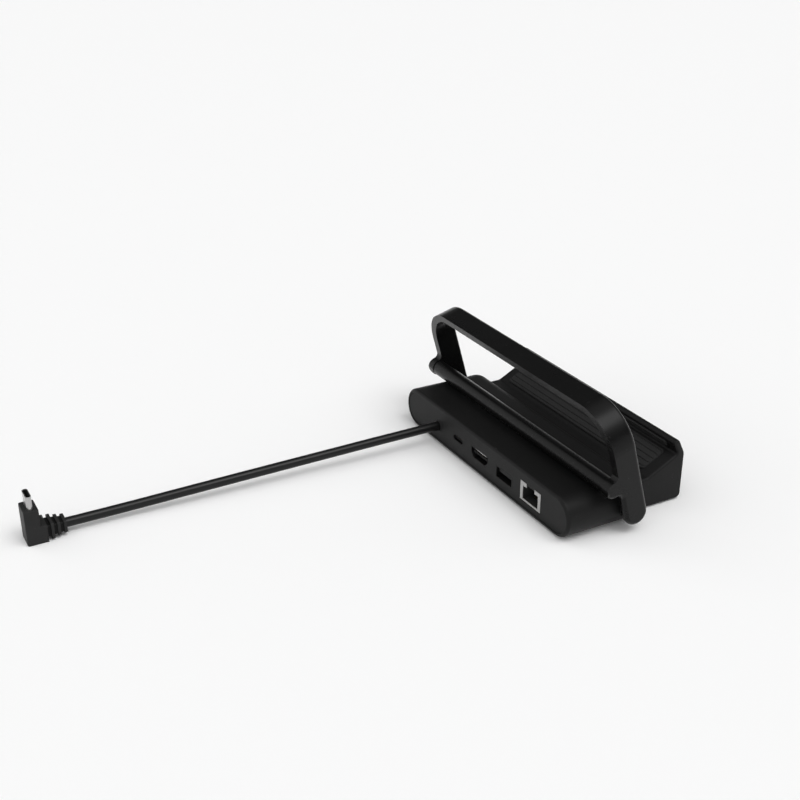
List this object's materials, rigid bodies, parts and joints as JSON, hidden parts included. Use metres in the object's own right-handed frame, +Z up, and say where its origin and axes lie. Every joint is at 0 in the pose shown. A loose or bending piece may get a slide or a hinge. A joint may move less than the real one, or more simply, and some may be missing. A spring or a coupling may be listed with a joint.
{
  "type": "handheld console dock",
  "caption": "Flat oval port hub with a tilted front seat, a fold-down rear loop that props up a handheld console, and a short fixed lead with a right-angle plug.",
  "frame": {"origin": "under the middle of the dock without its lead, on the surface that it stands on", "axes": "+X along the hub, towards the network socket; -Y out of the ports; +Y towards the seat; +Z up"},
  "size_m": [0.1538, 0.276, 0.0624],
  "materials": {
    "black_shell": "fine matte texture",
    "port_face": "fine matte texture",
    "support_black": "satin",
    "black_rubber": "matte",
    "lead_jacket": "satin",
    "plug_moulding": "satin",
    "socket_steel": "satin",
    "tip_steel": "polished",
    "socket_black": "matte",
    "contact_gold": "plated",
    "bush_nylon": "satin",
    "screw_steel": "satin",
    "board_green": "solder mask",
    "chip_black": "matte",
    "can_aluminium": "satin"
  },
  "bodies": {
    "base": {"hub_sleeve": "black_shell", "port_plate": "port_face", "pivot_bushes": "bush_nylon", "front_seat": "black_shell", "seat_cover": "black_shell", "seat_pad": "black_rubber", "lip_pad": "black_rubber", "seat_screws": "screw_steel", "base_feet": "black_rubber", "circuit_board": "board_green", "board_screws": "screw_steel", "usb_c_shell": "socket_steel", "usb_c_tongue": "socket_black", "hdmi_shell": "socket_steel", "hdmi_tongue": "socket_black", "usb_a_shell": "socket_steel", "usb_a_tongue": "socket_black", "rj45_shield": "socket_steel", "rj45_body": "socket_black", "rj45_contacts": "contact_gold", "video_chip": "chip_black", "hub_chip": "chip_black", "network_chip": "chip_black", "power_chip": "chip_black", "lan_transformer": "chip_black", "inductors": "chip_black", "capacitors": "can_aluminium", "crystals": "can_aluminium", "cable_grommet": "black_rubber", "cable_clamp": "socket_black", "cable_tail": "lead_jacket", "cable": "lead_jacket", "plug_body": "plug_moulding", "plug_shell": "tip_steel", "plug_insert": "socket_black"},
    "support": {"support_frame": "support_black"}
  },
  "joints": [
    {"name": "support_fold", "type": "hinge", "parent": "base", "child": "support", "pos_m": [0, -0.0033, 0.0106], "axis": [-1, 0, 0], "range_deg": [0, 88]}
  ]
}
